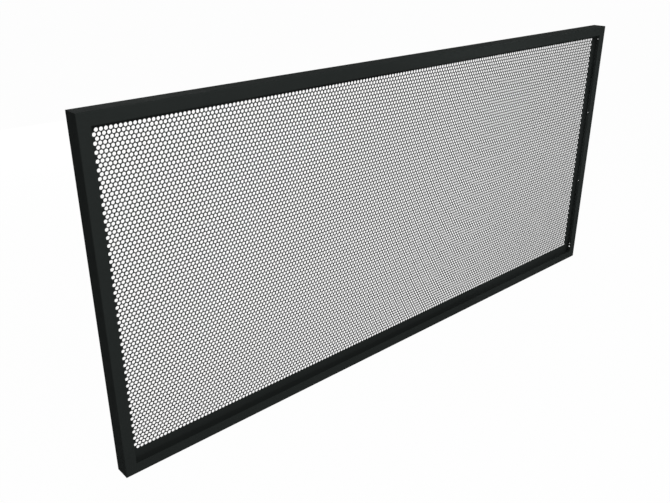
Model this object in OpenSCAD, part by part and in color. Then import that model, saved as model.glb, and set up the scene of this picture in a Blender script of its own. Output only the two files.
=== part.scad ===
// Framed perforated balustrade panel. Four angles folded from sheet steel, mitred and welded at
// the corners, stand round a perforated sheet whose edges are welded to their webs from behind.
// The panel is screwed between two posts through the holes in its stiles.
// X runs along the panel, Y from its front to its back, and Z up. The origin is the centre of
// the left stile's outer face, which bears on a post.

/* [Panel] */
// Overall length between the two posts
panel_length = 2162; // [1200:2:2600]
// Overall height
panel_height = 982; // [700:2:1300]

/* [Frame angles] */
// Depth of the frame from front to back, the width of an angle's web
frame_depth = 50; // [42:1:70]
// Width of the angles' front leg, which is the face that shows
leg_width = 32; // [24:1:50]
// Thickness of the folded steel
frame_wall = 2; // [1.5:0.5:3]
// Inner radius of the fold
inner_fold_radius = 1; // [0.5:0.25:3]

/* [Perforated sheet] */
// Thickness of the sheet
sheet_thickness = 1.5; // [1:0.25:3]
// Distance from the frame's front to the front of the sheet
sheet_setback = 27; // [27:0.5:36]
// Number of openings along the sheet, which stand in for its many columns of small round holes
opening_columns = 12; // [6:1:12]
// Number of openings up the sheet
opening_rows = 6; // [3:1:8]
// Width of the bars between the openings
bar_width = 38; // [10:1:60]
// Plain strip between a stile's leg and the nearest openings
side_strip = 9; // [4:1:60]
// Plain strip between the top rail's leg and the highest openings
top_strip = 12; // [4:1:60]
// Plain strip between the bottom rail's leg and the lowest openings
bottom_strip = 23; // [4:1:60]

/* [Holes in the stiles] */
// Distance from the frame's front to the line of the holes
hole_setback = 24; // [18:0.5:24]
// Number of fixing holes in each stile
fixings = 4; // [2:1:6]
// Distance from the panel's corner to the nearest fixing hole
fixing_inset = 51.5; // [50:0.5:90]
// Diameter of a fixing hole, the core of an M4 thread
fixing_hole_d = 3.3; // [2.5:0.1:5]
// Diameter of the hole near the foot of each stile, from which the panel hangs to be coated
hanging_hole_d = 6; // [4:0.5:6]
// Height of the hanging hole above the panel's lower edge
hanging_hole_height = 38.5; // [34:0.5:42]

/* [Hidden] */
$fn = 64;
cut = 1;                                    // overrun of cuts through a surface
steel_black = [0.055, 0.06, 0.058];
sheet_black = [0.045, 0.048, 0.047];
half_depth = frame_depth / 2;
half_height = panel_height / 2;
outer_fold_radius = inner_fold_radius + frame_wall;
fixing_step = (panel_height - 2 * fixing_inset) / (fixings - 1);
field_left = leg_width + side_strip;
field_foot = leg_width + bottom_strip - half_height;
field_length = panel_length - 2 * field_left;
field_height = half_height - leg_width - top_strip - field_foot;
column_step = (field_length + bar_width) / opening_columns;
row_step = (field_height + bar_width) / opening_rows;

// Height of fixing i, counted from the foot of the stile
function fixing_z(i) = -half_height + fixing_inset + (i - 1) * fixing_step;

// A rectangle between two opposite corners, rounded at the near one
module rounded_outline(near, far, radius) {
    size = far - near;
    translate([near[0] + radius, near[1]]) square([size[0] - radius, size[1]]);
    translate([near[0], near[1] + radius]) square([size[0], size[1] - radius]);
    translate([near[0] + radius, near[1] + radius]) circle(r = radius);
}

// Section of the angle: the web lies at X = 0 and the leg points to +X along the front
module angle_section() {
    difference() {
        rounded_outline([0, -half_depth], [leg_width, half_depth], outer_fold_radius);
        rounded_outline(
            [frame_wall, frame_wall - half_depth],
            [leg_width + cut, half_depth + cut],
            inner_fold_radius);
    }
}

// An angle that stands on Z, centred, with both ends cut to a mitre
module angle(length) {
    intersection() {
        linear_extrude(length, center = true) angle_section();
        rotate([90, 0, 0])
            linear_extrude(frame_depth + 2 * cut, center = true)
                polygon([
                    [0, -length / 2],
                    [leg_width, leg_width - length / 2],
                    [leg_width, length / 2 - leg_width],
                    [0, length / 2]]);
    }
}

// A hole through the web of the left stile at the height z
module web_hole(diameter, z) {
    translate([-cut, hole_setback - half_depth, z])
        rotate([0, 90, 0])
            cylinder(d = diameter, h = frame_wall + 2 * cut);
}

// The left stile, with its fixing holes and its hanging hole
module stile() {
    difference() {
        angle(panel_height);
        for (i = [1:fixings]) web_hole(fixing_hole_d, fixing_z(i));
        web_hole(hanging_hole_d, hanging_hole_height - half_height);
    }
}

// Turns the left stile's place into that of the other members
module on_right() { translate([panel_length, 0, 0]) mirror([1, 0, 0]) children(); }
module on_bottom() { translate([panel_length / 2, 0, -half_height]) rotate([0, -90, 0]) children(); }
module on_top() { translate([panel_length / 2, 0, half_height]) rotate([0, 90, 0]) children(); }

module top_rail() { color(steel_black) on_top() angle(panel_length); }
module bottom_rail() { color(steel_black) on_bottom() angle(panel_length); }
module left_stile() { color(steel_black) stile(); }
module right_stile() { color(steel_black) on_right() stile(); }

// The opening in a column and a row, both counted from the lower left corner
module sheet_opening(column, row) {
    translate([
        field_left + (column - 1) * column_step,
        sheet_setback - half_depth - cut,
        field_foot + (row - 1) * row_step])
        cube([column_step - bar_width, sheet_thickness + 2 * cut, row_step - bar_width]);
}

// The sheet reaches the four webs. A coarse grid of openings takes the place of its perforations,
// which are finer than this model goes, and is as open as they are.
module perforated_sheet() {
    color(sheet_black)
        difference() {
            translate([frame_wall, sheet_setback - half_depth, frame_wall - half_height])
                cube([
                    panel_length - 2 * frame_wall,
                    sheet_thickness,
                    panel_height - 2 * frame_wall]);
            for (column = [1:opening_columns], row = [1:opening_rows]) sheet_opening(column, row);
        }
}

top_rail();
bottom_rail();
left_stile();
right_stile();
perforated_sheet();
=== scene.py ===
"""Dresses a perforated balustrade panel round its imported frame.

The frame holds the four folded angles. This file adds the perforated sheet with its real holes,
the weld beads behind it and the finish of every surface, and sets the stage.
"""
import math
import random

import bmesh
import bpy
from bpy.props import FloatProperty, FloatVectorProperty, IntProperty, PointerProperty
from mathutils import Matrix, Vector


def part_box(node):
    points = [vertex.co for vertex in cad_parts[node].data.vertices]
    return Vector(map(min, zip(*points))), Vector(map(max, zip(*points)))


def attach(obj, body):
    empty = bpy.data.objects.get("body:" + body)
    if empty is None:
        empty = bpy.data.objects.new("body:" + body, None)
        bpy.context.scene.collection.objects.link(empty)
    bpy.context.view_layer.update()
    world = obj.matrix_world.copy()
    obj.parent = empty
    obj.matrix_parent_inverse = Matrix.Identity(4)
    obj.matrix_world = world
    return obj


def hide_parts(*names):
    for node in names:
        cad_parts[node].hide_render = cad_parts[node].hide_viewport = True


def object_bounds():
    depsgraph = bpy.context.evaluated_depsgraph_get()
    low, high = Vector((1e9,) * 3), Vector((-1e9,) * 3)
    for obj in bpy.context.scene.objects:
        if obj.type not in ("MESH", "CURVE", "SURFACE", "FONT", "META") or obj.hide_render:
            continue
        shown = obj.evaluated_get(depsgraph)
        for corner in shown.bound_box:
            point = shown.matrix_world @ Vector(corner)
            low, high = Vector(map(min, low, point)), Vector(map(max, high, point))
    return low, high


bl_info = {
    "name": "Perforated Balustrade Panel",
    "version": (1, 0, 0),
    "blender": (4, 5, 0),
    "location": "3D View > Sidebar > Balustrade",
    "description": "Perforated sheet, weld beads, powder coat and stage for a balustrade panel",
    "category": "Object",
}

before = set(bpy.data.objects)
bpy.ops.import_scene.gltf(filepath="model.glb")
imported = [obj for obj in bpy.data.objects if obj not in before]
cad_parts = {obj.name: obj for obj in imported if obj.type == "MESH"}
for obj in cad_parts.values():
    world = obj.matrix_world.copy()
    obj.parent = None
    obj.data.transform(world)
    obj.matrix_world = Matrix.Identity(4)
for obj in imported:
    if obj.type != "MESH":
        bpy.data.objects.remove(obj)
CAD_LOW, CAD_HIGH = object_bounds()
ANGLES = ("top_rail", "bottom_rail", "left_stile", "right_stile")


# ---------------------------------------------------------------- settings


class SheetSettings(bpy.types.PropertyGroup):
    """The pattern of holes in the sheet."""

    hole_diameter: FloatProperty(
        name="Hole diameter", description="Diameter of one punched hole",
        default=0.010, min=0.002, max=0.02, precision=4, unit="LENGTH",
    )
    hole_pitch: FloatProperty(
        name="Hole pitch", description="Distance between the centres of neighbouring holes",
        default=0.012, min=0.003, max=0.03, precision=4, unit="LENGTH",
    )
    columns: IntProperty(
        name="Columns", description="Holes in each row", default=173, min=2, max=400,
    )
    rows: IntProperty(
        name="Rows", description="Rows of holes", default=85, min=2, max=300,
    )
    left_border: FloatProperty(
        name="Left border", description="From the panel's left face to the nearest hole centres",
        default=0.0482, min=0.01, max=0.2, precision=4, unit="LENGTH",
    )
    top_border: FloatProperty(
        name="Top border", description="From the panel's top face to the first row of holes",
        default=0.0490, min=0.01, max=0.2, precision=4, unit="LENGTH",
    )
    hole_sides: IntProperty(
        name="Hole sides", description="Flat sides that make one round hole",
        default=12, min=6, max=24,
    )
    strips: IntProperty(
        name="Strips", description="Meshes that the sheet is stored in", default=5, min=1, max=12,
    )


class WeldSettings(bpy.types.PropertyGroup):
    """The weld beads behind the sheet."""

    bead_length: FloatProperty(
        name="Bead length", description="Length of one stitch of weld",
        default=0.028, min=0.005, max=0.2, precision=4, unit="LENGTH",
    )
    bead_leg: FloatProperty(
        name="Bead leg", description="Width of a bead on each of the two faces that it joins",
        default=0.003, min=0.001, max=0.01, precision=4, unit="LENGTH",
    )
    bead_spacing: FloatProperty(
        name="Bead spacing", description="Largest distance between the centres of two stitches",
        default=0.18, min=0.05, max=1.0, precision=3, unit="LENGTH",
    )
    corner_gap: FloatProperty(
        name="Corner gap", description="From the frame's corner to the nearest stitch's centre",
        default=0.06, min=0.02, max=0.3, precision=3, unit="LENGTH",
    )
    seed: IntProperty(
        name="Seed", description="Picks the small differences between the beads", default=5, min=0,
    )


class FinishSettings(bpy.types.PropertyGroup):
    """Colours and texture of the finishes."""

    coat_colour: FloatVectorProperty(
        name="Coat colour", description="Powder coat on the whole panel",
        default=(0.0163, 0.0188, 0.0180), min=0, max=1, size=3, subtype="COLOR",
    )
    coat_gloss: FloatProperty(
        name="Coat gloss", description="Strength of the powder coat's surface reflection",
        default=0.0018, min=0, max=1, precision=4, subtype="FACTOR",
    )
    coat_roughness: FloatProperty(
        name="Coat roughness", description="Roughness of the powder coat",
        default=0.62, min=0.1, max=1, subtype="FACTOR",
    )
    peel_size: FloatProperty(
        name="Peel size", description="Width of one bump of the coat's orange peel",
        default=0.0011, min=0.0003, max=0.01, precision=5, unit="LENGTH",
    )


class StageSettings(bpy.types.PropertyGroup):
    """Camera, light and floor."""

    camera_offset: FloatVectorProperty(
        name="Camera place", description="Camera, from the panel's front lower left corner",
        default=(-0.6341, -1.5360, 1.3574), size=3, subtype="TRANSLATION",
    )
    camera_azimuth: FloatProperty(
        name="Camera azimuth", description="Turn of the camera round the vertical",
        default=math.radians(-41.894), subtype="ANGLE",
    )
    camera_elevation: FloatProperty(
        name="Camera elevation", description="Height of the camera above the horizon",
        default=math.radians(23.950), subtype="ANGLE",
    )
    focal_length: FloatProperty(
        name="Focal length", description="Focal length on a 36 mm wide sensor, in millimetres",
        default=40.007, min=10, max=300,
    )
    sky_strength: FloatProperty(
        name="Sky strength", description="Even light from all round",
        default=0.22, min=0, max=2,
    )
    key_power: FloatProperty(
        name="Key power", description="Power of the large lamp high in front, on the left",
        default=136, min=0, subtype="POWER",
    )
    fill_power: FloatProperty(
        name="Fill power", description="Power of the large lamp high in front, on the right",
        default=58, min=0, subtype="POWER",
    )
    low_power: FloatProperty(
        name="Low power",
        description="Power of the low lamp in front, which lights under the top rail",
        default=9, min=0, subtype="POWER",
    )
    side_power: FloatProperty(
        name="Side power", description="Power of the narrow lamp on the right stile's inner side",
        default=2.5, min=0, subtype="POWER",
    )
    back_power: FloatProperty(
        name="Back power", description="Power of the large lamp behind",
        default=100, min=0, subtype="POWER",
    )


# ---------------------------------------------------------------- materials


# Range in which most noise lies
NOISE_LOW, NOISE_HIGH = 0.3, 0.7
# Width in metres of the coat's clouds, and the share by which they change its colour
CLOUD_SIZE, CLOUD_DEPTH = 0.09, 0.06
# Width in metres of the patches of uneven gloss, and how far they change the roughness
PATCH_SIZE, PATCH_DEPTH = 0.03, 0.05
# Height in metres of the orange peel's bumps, and how strongly they turn the light
PEEL_HEIGHT, PEEL_STRENGTH = 0.00005, 0.35


class NodeBuilder:
    """Adds and links the nodes of one material."""

    def __init__(self, name):
        self.material = bpy.data.materials.new(name)
        self.material.use_nodes = True
        self.tree = self.material.node_tree
        self.tree.nodes.clear()
        self.output = self.add("ShaderNodeOutputMaterial")

    def add(self, kind, **values):
        """A new node. Names with a leading underscore set attributes, others set sockets."""
        node = self.tree.nodes.new(kind)
        for name, value in values.items():
            if name.startswith("_"):
                setattr(node, name[1:], value)
            else:
                node.inputs[name.replace("_", " ")].default_value = value
        return node

    def link(self, out_socket, in_socket):
        self.tree.links.new(out_socket, in_socket)

    def object_noise(self, feature_size, detail):
        """Noise on Object coordinates whose features are about feature_size metres wide."""
        place = self.add("ShaderNodeTexCoord")
        noise = self.add("ShaderNodeTexNoise", Scale=1 / feature_size, Detail=detail)
        self.link(place.outputs["Object"], noise.inputs["Vector"])
        return noise.outputs["Fac"]

    def remap(self, socket, low, high):
        """The noise of socket, spread from low to high."""
        spread = self.add(
            "ShaderNodeMapRange", From_Min=NOISE_LOW, From_Max=NOISE_HIGH, To_Min=low, To_Max=high
        )
        self.link(socket, spread.inputs["Value"])
        return spread.outputs["Result"]


def shade(colour, factor):
    """colour made lighter or darker by factor, with full alpha."""
    return (*(channel * factor for channel in colour), 1.0)


def powder_coat(name, finish):
    """Near-black powder coat: fine orange peel, faint cloudiness and uneven gloss."""
    build = NodeBuilder(name)
    coat = build.add("ShaderNodeBsdfPrincipled", Specular_IOR_Level=finish.coat_gloss)

    cloud = build.object_noise(CLOUD_SIZE, detail=3.0)
    tint = build.add("ShaderNodeMix", _data_type="RGBA")
    tint.inputs["A"].default_value = shade(finish.coat_colour, 1 - CLOUD_DEPTH)
    tint.inputs["B"].default_value = shade(finish.coat_colour, 1 + CLOUD_DEPTH)
    build.link(cloud, tint.inputs["Factor"])
    build.link(tint.outputs["Result"], coat.inputs["Base Color"])

    patches = build.object_noise(PATCH_SIZE, detail=2.0)
    smoothest, roughest = finish.coat_roughness - PATCH_DEPTH, finish.coat_roughness + PATCH_DEPTH
    build.link(build.remap(patches, smoothest, roughest), coat.inputs["Roughness"])

    peel = build.object_noise(finish.peel_size, detail=1.5)
    bump = build.add("ShaderNodeBump", Strength=PEEL_STRENGTH, Distance=PEEL_HEIGHT)
    build.link(peel, bump.inputs["Height"])
    build.link(bump.outputs["Normal"], coat.inputs["Normal"])
    build.link(coat.outputs["BSDF"], build.output.inputs["Surface"])
    return build.material


def dress(names, material):
    """Gives CAD nodes their material."""
    for name in names:
        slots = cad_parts[name].data.materials
        slots.clear()
        slots.append(material)


# ---------------------------------------------------------------- the perforated sheet


# Between a row of holes and the line to the nearest hole of the next row
ROW_ANGLE = math.radians(60)
CELL_SIDES = 6
# Corners of neighbouring cells that lie nearer than this, in metres, are one
MERGE_DISTANCE = 1e-5
# Edges between faces that meet at more than this angle stay crisp
SHEET_SHARP_ANGLE = math.radians(35)


class HoleField:
    """Places of the holes, and the plain cells round them, from the panel's size."""

    def __init__(self, sheet):
        self.pitch = sheet.hole_pitch
        self.row_step = self.pitch * math.sin(ROW_ANGLE)
        self.columns, self.rows = sheet.columns, sheet.rows
        self.left = CAD_LOW.x + sheet.left_border
        self.top = CAD_HIGH.z - sheet.top_border
        low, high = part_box("perforated_sheet")
        self.low, self.high = low, high
        right = self.left + (self.columns - 1) * self.pitch
        bottom = self.top - (self.rows - 1) * self.row_step
        self.plain_left = math.ceil((self.left - low.x) / self.pitch) + 1
        self.plain_right = math.ceil((high.x - right) / self.pitch) + 1
        self.plain_above = math.ceil((high.z - self.top) / self.row_step) + 1
        self.plain_below = math.ceil((bottom - low.z) / self.row_step) + 1

    def cell_place(self, row):
        """Offset of a row's cell in its column: every second row lies half a pitch to the right."""
        shift = self.pitch / 2 if row % 2 == 0 else 0.0
        return Vector((shift, 0.0, -row * self.row_step))


def flat_cell(field, hole_diameter=0.0, hole_sides=0):
    """One six-sided cell of the sheet, in the XZ plane, plain or with its hole."""
    bm = bmesh.new()
    corner_radius = field.pitch / math.sqrt(3)
    bmesh.ops.create_circle(
        bm, segments=CELL_SIDES, radius=corner_radius, cap_ends=hole_sides == 0
    )
    if hole_sides:
        bmesh.ops.create_circle(bm, segments=hole_sides, radius=hole_diameter / 2)
        bmesh.ops.bridge_loops(bm, edges=bm.edges[:])
    upright = Matrix.Rotation(math.radians(90), 3, "X")
    bmesh.ops.rotate(bm, verts=bm.verts[:], matrix=upright)
    return as_mesh(bm, "cell")


def as_mesh(bm, name):
    """Turns a finished bmesh into a mesh and frees it."""
    mesh = bpy.data.meshes.new(name)
    bm.to_mesh(mesh)
    bm.free()
    return mesh


def smooth(mesh, sharp_angle):
    """Shades a mesh smooth, apart from edges whose faces meet at more than sharp_angle."""
    mesh.shade_smooth()
    mesh.set_sharp_from_angle(angle=sharp_angle)


def append(bm, mesh, offset):
    """Adds a copy of mesh to bm, moved by offset."""
    start = len(bm.verts)
    bm.from_mesh(mesh)
    bm.verts.ensure_lookup_table()
    bmesh.ops.translate(bm, vec=offset, verts=bm.verts[start:])


def cell_column(field, cell, plain_cell):
    """One column of cells, with plain ones above the first row and below the last."""
    bm = bmesh.new()
    for row in range(-field.plain_above, field.rows + field.plain_below):
        append(bm, cell if 0 <= row < field.rows else plain_cell, field.cell_place(row))
    return as_mesh(bm, "cell_column")


def trim(bm, point, normal):
    """Cuts away what lies beyond a plane."""
    geometry = bm.verts[:] + bm.edges[:] + bm.faces[:]
    bmesh.ops.bisect_plane(
        bm, geom=geometry, dist=MERGE_DISTANCE, plane_co=point, plane_no=normal, clear_outer=True
    )


def thicken(bm, thickness):
    """Pushes the flat sheet's faces back along Y, which closes it into a solid."""
    made = bmesh.ops.extrude_face_region(bm, geom=bm.faces[:])["geom"]
    moved = [item for item in made if isinstance(item, bmesh.types.BMVert)]
    bmesh.ops.translate(bm, vec=(0.0, thickness, 0.0), verts=moved)
    bmesh.ops.recalc_face_normals(bm, faces=bm.faces[:])


def add_piece(name, mesh, material):
    """Links a finished mesh as a piece of the panel."""
    piece = bpy.data.objects.new(name, mesh)
    mesh.materials.append(material)
    bpy.context.scene.collection.objects.link(piece)
    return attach(piece, "root")


def strip_columns(field, count):
    """The columns of each strip, split evenly, with the plain side borders on the end strips."""
    share, extra = divmod(field.columns, count)
    first = 0
    for index in range(count):
        last = first + share + (1 if index < extra else 0)
        low = first - (field.plain_left if index == 0 else 0)
        high = last + (field.plain_right if index == count - 1 else 0)
        yield range(low, high)
        first = last


class BALUSTRADE_OT_perforated_sheet(bpy.types.Operator):
    """Builds the sheet with its real holes, in strips that stay small enough to export whole"""

    bl_idname = "balustrade.perforated_sheet"
    bl_label = "Perforated sheet"

    def execute(self, context):
        sheet = context.scene.balustrade_sheet
        finish = context.scene.balustrade_finish
        coat = powder_coat("sheet_powder_coat", finish)
        field = HoleField(sheet)
        holed = flat_cell(field, sheet.hole_diameter, sheet.hole_sides)
        plain = flat_cell(field)
        holed_column = cell_column(field, holed, plain)
        plain_column = cell_column(field, plain, plain)
        for number, columns in enumerate(strip_columns(field, sheet.strips), start=1):
            bm = bmesh.new()
            for column in columns:
                mesh = holed_column if 0 <= column < field.columns else plain_column
                place = Vector((field.left + column * field.pitch, field.low.y, field.top))
                append(bm, mesh, place)
            bmesh.ops.remove_doubles(bm, verts=bm.verts[:], dist=MERGE_DISTANCE)
            for point, normal in ((field.low, (-1, 0, 0)), (field.high, (1, 0, 0)),
                                  (field.low, (0, 0, -1)), (field.high, (0, 0, 1))):
                trim(bm, point, normal)
            thicken(bm, field.high.y - field.low.y)
            name = f"perforated_sheet_{number}"
            strip = as_mesh(bm, name)
            smooth(strip, SHEET_SHARP_ANGLE)
            piece = add_piece(name, strip, coat)
            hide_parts("perforated_sheet")
        for mesh in (holed, plain, holed_column, plain_column):
            bpy.data.meshes.remove(mesh)
        return {"FINISHED"}


# ---------------------------------------------------------------- weld beads


# Rings of points along a bead, and how its section changes from ring to ring: the size of both
# ends, the depth of the ripples, and the power by which it swells, which is small for blunt ends
BEAD_STEPS = 14
BEAD_END, BEAD_RIPPLE, BEAD_SWELL = 0.4, 0.05, 0.3
# A bead's section as shares of its leg: the corner that it fills, and its round face
BEAD_SECTION = ((0.0, 0.0), (1.0, 0.0), (0.86, 0.45), (0.45, 0.86), (0.0, 1.0))
# How far a stitch lies from its even place, in metres, and the shares of the set length and leg
# between which half its length and its leg lie
STITCH_DRIFT = 0.004
HALF_LENGTHS, LEGS = (0.42, 0.56), (0.88, 1.12)
BEAD_SHARP_ANGLE = math.radians(50)


def swell(step):
    """Size of a bead's section at a step, as a share of its leg."""
    if step in (0, BEAD_STEPS):
        return BEAD_END
    ripple = 1 + (BEAD_RIPPLE if step % 2 else -BEAD_RIPPLE)
    return math.sin(math.pi * step / BEAD_STEPS) ** BEAD_SWELL * ripple


def add_bead(bm, start, end, across, back, leg):
    """A bead that fills a corner from start to end, where across and back lead away from it."""
    along = (end - start) / BEAD_STEPS
    size = leg * swell(0)
    first_ring = [start + (across * u + back * v) * size for u, v in BEAD_SECTION]
    tip = bm.faces.new([bm.verts.new(point) for point in first_ring])
    for step in range(1, BEAD_STEPS + 1):
        made = bmesh.ops.extrude_face_region(bm, geom=[tip])["geom"]
        if step > 1:
            bmesh.ops.delete(bm, geom=[tip], context="FACES_ONLY")
        ring = [item for item in made if isinstance(item, bmesh.types.BMVert)]
        tip = next(item for item in made if isinstance(item, bmesh.types.BMFace))
        bmesh.ops.translate(bm, vec=along, verts=ring)
        growth = swell(step) / swell(step - 1)
        corner = Matrix.Translation(-(start + along * step))
        bmesh.ops.scale(bm, vec=(growth, growth, growth), space=corner, verts=ring)


def stitch_row(bm, first, last, across, weld, draw):
    """Evenly spaced beads behind the sheet, along the edge from first to last."""
    edge = last - first
    run = edge.length - 2 * weld.corner_gap
    gaps = max(math.ceil(run / weld.bead_spacing), 1)
    along = edge.normalized()
    for number in range(gaps + 1):
        drift = draw.uniform(-STITCH_DRIFT, STITCH_DRIFT)
        middle = first + along * (weld.corner_gap + run * number / gaps + drift)
        half = along * weld.bead_length * draw.uniform(*HALF_LENGTHS)
        leg = weld.bead_leg * draw.uniform(*LEGS)
        add_bead(bm, middle - half, middle + half, across, Vector((0, 1, 0)), leg)


class BALUSTRADE_OT_weld_beads(bpy.types.Operator):
    """Welds the sheet's edges to the four webs from behind, and the webs to each other"""

    bl_idname = "balustrade.weld_beads"
    bl_label = "Weld beads"

    def execute(self, context):
        weld = context.scene.balustrade_weld
        draw = random.Random(weld.seed)
        low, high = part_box("perforated_sheet")
        foot_left, foot_right = Vector((low.x, high.y, low.z)), Vector((high.x, high.y, low.z))
        top_left, top_right = Vector((low.x, high.y, high.z)), Vector((high.x, high.y, high.z))
        rightward, upward = Vector((1, 0, 0)), Vector((0, 0, 1))
        bm = bmesh.new()
        stitch_row(bm, foot_left, foot_right, upward, weld, draw)
        stitch_row(bm, top_left, top_right, -upward, weld, draw)
        stitch_row(bm, foot_left, top_left, rightward, weld, draw)
        stitch_row(bm, foot_right, top_right, -rightward, weld, draw)
        for corner, across, back in ((foot_left, rightward, upward),
                                     (foot_right, -rightward, upward),
                                     (top_left, rightward, -upward),
                                     (top_right, -rightward, -upward)):
            end = Vector((corner.x, CAD_HIGH.y - weld.bead_leg / 2, corner.z))
            add_bead(bm, corner, end, across, back, weld.bead_leg)
        bmesh.ops.recalc_face_normals(bm, faces=bm.faces[:])
        mesh = as_mesh(bm, "weld_beads")
        smooth(mesh, BEAD_SHARP_ANGLE)
        coat = powder_coat("weld_powder_coat", context.scene.balustrade_finish)
        add_piece("weld_beads", mesh, coat)
        return {"FINISHED"}


# ---------------------------------------------------------------- frame


class BALUSTRADE_OT_frame_coat(bpy.types.Operator):
    """Powder coats the four angles"""

    bl_idname = "balustrade.frame_coat"
    bl_label = "Frame coat"

    def execute(self, context):
        dress(ANGLES, powder_coat("frame_powder_coat", context.scene.balustrade_finish))
        return {"FINISHED"}


# ---------------------------------------------------------------- stage


# In millimetres, as the focal length
SENSOR_WIDTH = 36.0
# From the floor's middle to its edges, in metres, its grey, and how white it looks
FLOOR_REACH = 30.0
FLOOR_GREY = 0.6
FLOOR_WHITENESS = 0.98
# Width and height of the lamps, in metres
LARGE_LAMP, LOW_LAMP, SMALL_LAMP = (2.6, 1.8), (2.0, 0.3), (0.3, 0.3)
SIDE_SPREAD = math.radians(50)


def facing(direction):
    """Rotation of a camera or a lamp that looks along direction, upright."""
    return direction.to_track_quat("-Z", "Y").to_euler()


def add_camera(stage):
    """The camera, at its place from the panel's front lower left corner."""
    azimuth, elevation = stage.camera_azimuth, stage.camera_elevation
    outward = Vector((
        math.sin(azimuth) * math.cos(elevation),
        -math.cos(azimuth) * math.cos(elevation),
        math.sin(elevation),
    ))
    lens = bpy.data.cameras.new("camera")
    lens.sensor_width = SENSOR_WIDTH
    lens.lens = stage.focal_length
    camera = bpy.data.objects.new("camera", lens)
    camera.location = CAD_LOW + Vector(stage.camera_offset)
    camera.rotation_euler = facing(-outward)
    bpy.context.scene.collection.objects.link(camera)
    bpy.context.scene.camera = camera


def area_lamp(name, place, target, size, power, spread=math.pi):
    """A soft lamp that the camera doesn't see, whose light stays within the angle of spread."""
    lamp = bpy.data.lights.new(name, "AREA")
    lamp.shape = "RECTANGLE"
    lamp.size, lamp.size_y = size
    lamp.energy = power
    lamp.spread = spread
    item = bpy.data.objects.new(name, lamp)
    item.location = place
    item.rotation_euler = facing(target - place)
    item.visible_camera = False
    bpy.context.scene.collection.objects.link(item)


def seen_directly(tree):
    """1 for camera, glossy and transmission rays, which see the plain white background."""
    path = tree.nodes.new("ShaderNodeLightPath")
    total = path.outputs["Is Camera Ray"]
    for name in ("Is Glossy Ray", "Is Transmission Ray"):
        either = tree.nodes.new("ShaderNodeMath")
        either.operation = "MAXIMUM"
        tree.links.new(total, either.inputs[0])
        tree.links.new(path.outputs[name], either.inputs[1])
        total = either.outputs[0]
    return total


def white_world(strength):
    """White to the eye and to reflections, and an even light of the given strength."""
    world = bpy.data.worlds.new("studio_white")
    bpy.context.scene.world = world
    world.use_nodes = True
    tree = world.node_tree
    tree.nodes.clear()
    light = tree.nodes.new("ShaderNodeBackground")
    light.inputs["Strength"].default_value = strength
    backdrop = tree.nodes.new("ShaderNodeBackground")
    for node in (light, backdrop):
        node.inputs["Color"].default_value = (1, 1, 1, 1)
    mix = tree.nodes.new("ShaderNodeMixShader")
    output = tree.nodes.new("ShaderNodeOutputWorld")
    tree.links.new(seen_directly(tree), mix.inputs["Fac"])
    tree.links.new(light.outputs[0], mix.inputs[1])
    tree.links.new(backdrop.outputs[0], mix.inputs[2])
    tree.links.new(mix.outputs[0], output.inputs["Surface"])


def floor_material():
    """Pale floor that looks white from above and keeps a faint shadow."""
    build = NodeBuilder("studio_floor")
    pale = build.add("ShaderNodeBsdfDiffuse", Color=(FLOOR_GREY, FLOOR_GREY, FLOOR_GREY, 1))
    white = build.add("ShaderNodeEmission", Color=(1, 1, 1, 1), Strength=1.0)
    share = build.add("ShaderNodeMath", _operation="MULTIPLY")
    share.inputs[1].default_value = FLOOR_WHITENESS
    build.link(seen_directly(build.tree), share.inputs[0])
    mix = build.add("ShaderNodeMixShader")
    build.link(share.outputs[0], mix.inputs["Fac"])
    build.link(pale.outputs[0], mix.inputs[1])
    build.link(white.outputs[0], mix.inputs[2])
    build.link(mix.outputs[0], build.output.inputs["Surface"])
    return build.material


def add_floor(centre):
    """The floor that the panel stands on."""
    bm = bmesh.new()
    bmesh.ops.create_grid(bm, x_segments=1, y_segments=1, size=FLOOR_REACH)
    bmesh.ops.translate(bm, vec=(centre.x, centre.y, CAD_LOW.z), verts=bm.verts[:])
    floor = bpy.data.objects.new("floor", as_mesh(bm, "floor"))
    floor.data.materials.append(floor_material())
    bpy.context.scene.collection.objects.link(floor)


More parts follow.
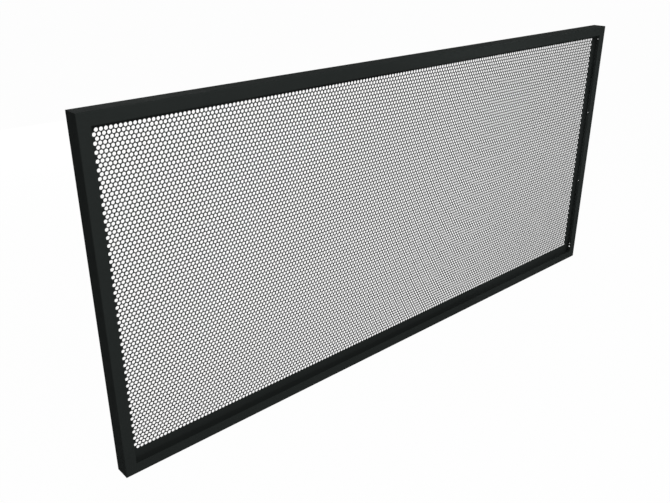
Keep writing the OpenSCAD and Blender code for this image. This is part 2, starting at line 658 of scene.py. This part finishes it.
class BALUSTRADE_OT_stage(bpy.types.Operator):
    """Sets the camera, the light and the floor"""

    bl_idname = "balustrade.stage"
    bl_label = "Stage"

    def execute(self, context):
        stage = context.scene.balustrade_stage
        centre = (CAD_LOW + CAD_HIGH) / 2
        add_camera(stage)
        add_floor(centre)
        white_world(stage.sky_strength)
        # Each lamp's place is given from the panel's centre
        for name, place, size, power in (
            ("key_lamp", (-1.5, -3.1, 3.2), LARGE_LAMP, stage.key_power),
            ("fill_lamp", (0.8, -3.3, 3.4), LARGE_LAMP, stage.fill_power),
            ("low_lamp", (-0.7, -2.2, -0.25), LOW_LAMP, stage.low_power),
            ("back_lamp", (0.3, 3.8, 0.2), LARGE_LAMP, stage.back_power),
        ):
            area_lamp(name, centre + Vector(place), centre, size, power)
        right_end = Vector((CAD_HIGH.x, centre.y, centre.z))
        area_lamp("side_lamp", centre + Vector((-0.8, -0.9, 0.6)), right_end, SMALL_LAMP,
                  stage.side_power, spread=SIDE_SPREAD)
        context.scene.view_settings.view_transform = "Standard"
        return {"FINISHED"}


# ---------------------------------------------------------------- add-on


class VIEW3D_PT_balustrade(bpy.types.Panel):
    """Shows every group of settings and a button for each step that builds the panel"""

    bl_label = "Balustrade panel"
    bl_space_type = "VIEW_3D"
    bl_region_type = "UI"
    bl_category = "Balustrade"

    def draw(self, context):
        for group in SETTINGS:
            settings = getattr(context.scene, group)
            box = self.layout.box()
            for name in settings.bl_rna.properties.keys():
                if name not in {"rna_type", "name"}:
                    box.prop(settings, name)
        for operator in OPERATORS:
            self.layout.operator(operator.bl_idname)


OPERATORS = (
    BALUSTRADE_OT_stage,
    BALUSTRADE_OT_frame_coat,
    BALUSTRADE_OT_perforated_sheet,
    BALUSTRADE_OT_weld_beads,
)
SETTINGS = {
    "balustrade_sheet": SheetSettings,
    "balustrade_weld": WeldSettings,
    "balustrade_finish": FinishSettings,
    "balustrade_stage": StageSettings,
}
CLASSES = (*SETTINGS.values(), *OPERATORS, VIEW3D_PT_balustrade)


def register():
    for cls in CLASSES:
        bpy.utils.register_class(cls)
    for name, cls in SETTINGS.items():
        setattr(bpy.types.Scene, name, PointerProperty(type=cls))


def unregister():
    for name in SETTINGS:
        delattr(bpy.types.Scene, name)
    for cls in reversed(CLASSES):
        bpy.utils.unregister_class(cls)


def main():
    register()
    bpy.ops.balustrade.stage()
    bpy.ops.balustrade.frame_coat()
    bpy.ops.balustrade.perforated_sheet()
    bpy.ops.balustrade.weld_beads()


if __name__ == "__main__":
    main()
